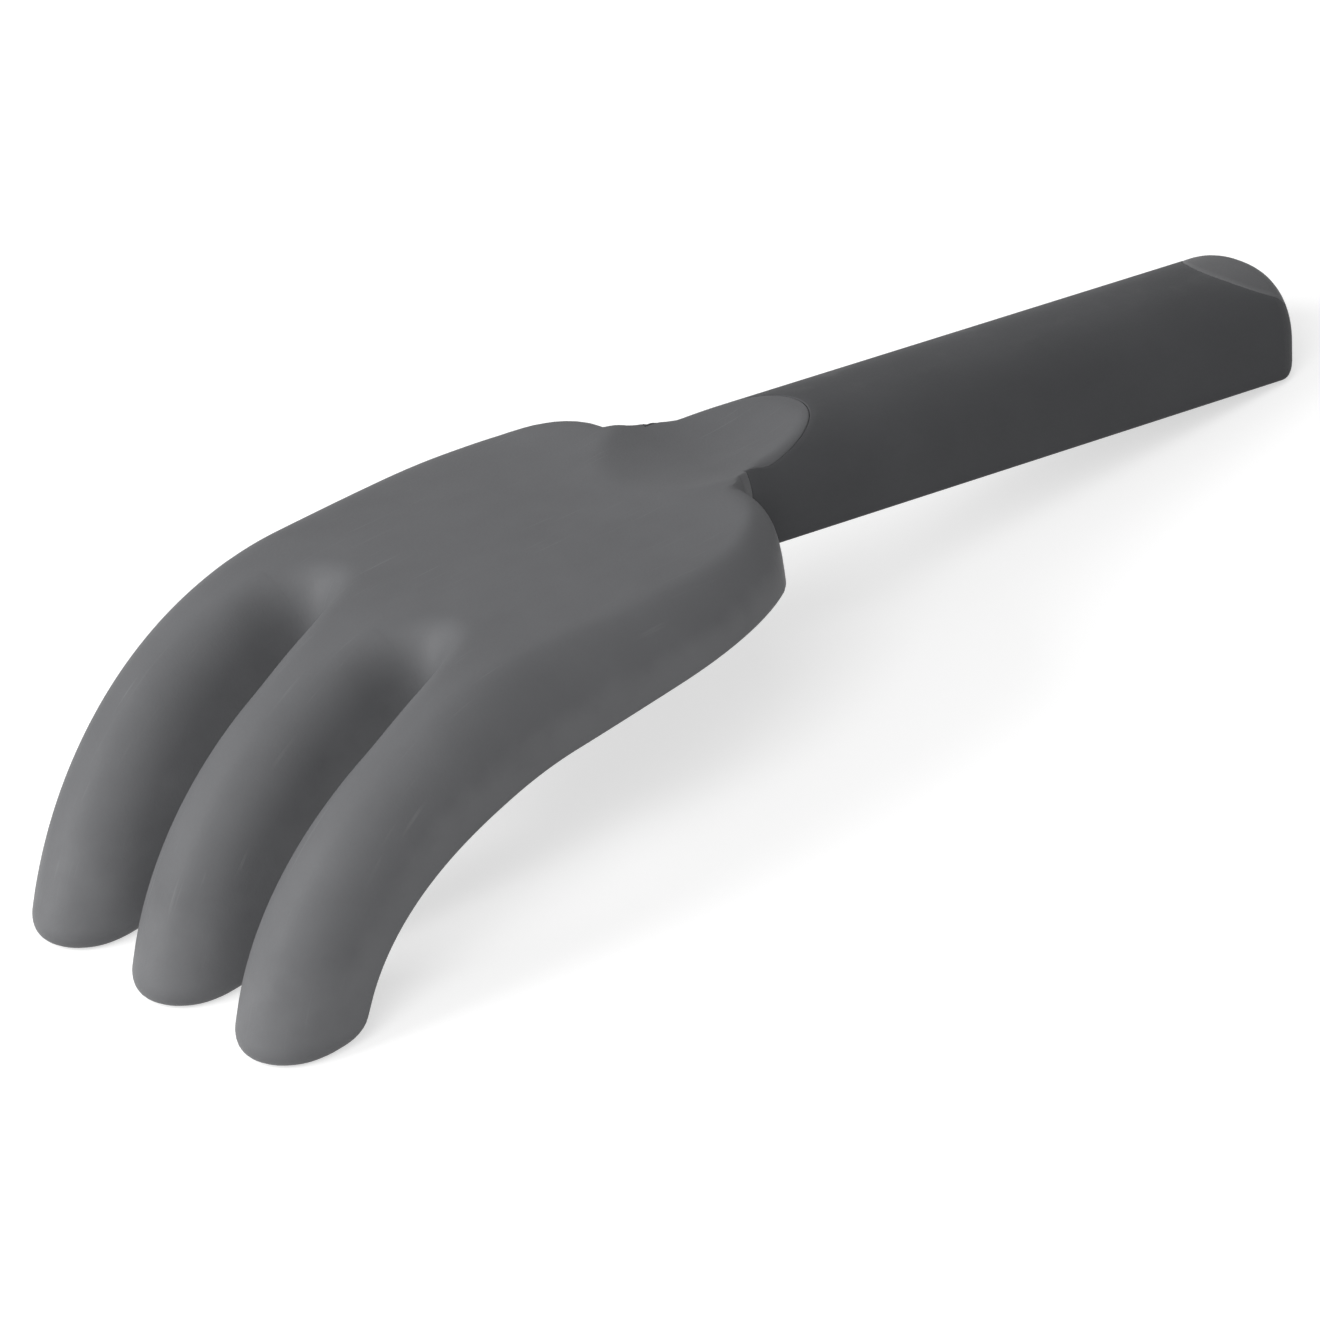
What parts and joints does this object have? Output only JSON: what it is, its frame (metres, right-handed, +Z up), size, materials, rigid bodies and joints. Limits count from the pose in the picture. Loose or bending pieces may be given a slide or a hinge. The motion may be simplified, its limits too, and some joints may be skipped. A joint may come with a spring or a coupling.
{
  "type": "hand rake",
  "caption": "Child's moulded hand rake for a sandpit: an open-backed palm with thick tines bent down from it, a dished neck and a straight grip of half-round section.",
  "frame": {"origin": "on the floor under the middle of the rake's overall box, as it lies on its tips and the end of its handle", "axes": "+X along the rake from the tips to the handle's end, +Y across it, +Z up"},
  "size_m": [0.2314, 0.0812, 0.0431],
  "materials": {
    "head_plastic": "fine matt moulded texture",
    "grip_rubber": "soft matt",
    "plug_plastic": "fine matt moulded texture"
  },
  "bodies": {
    "root": {"rake_head": "head_plastic", "grip_sleeve": "grip_rubber", "end_plug": "plug_plastic"}
  },
  "joints": []
}
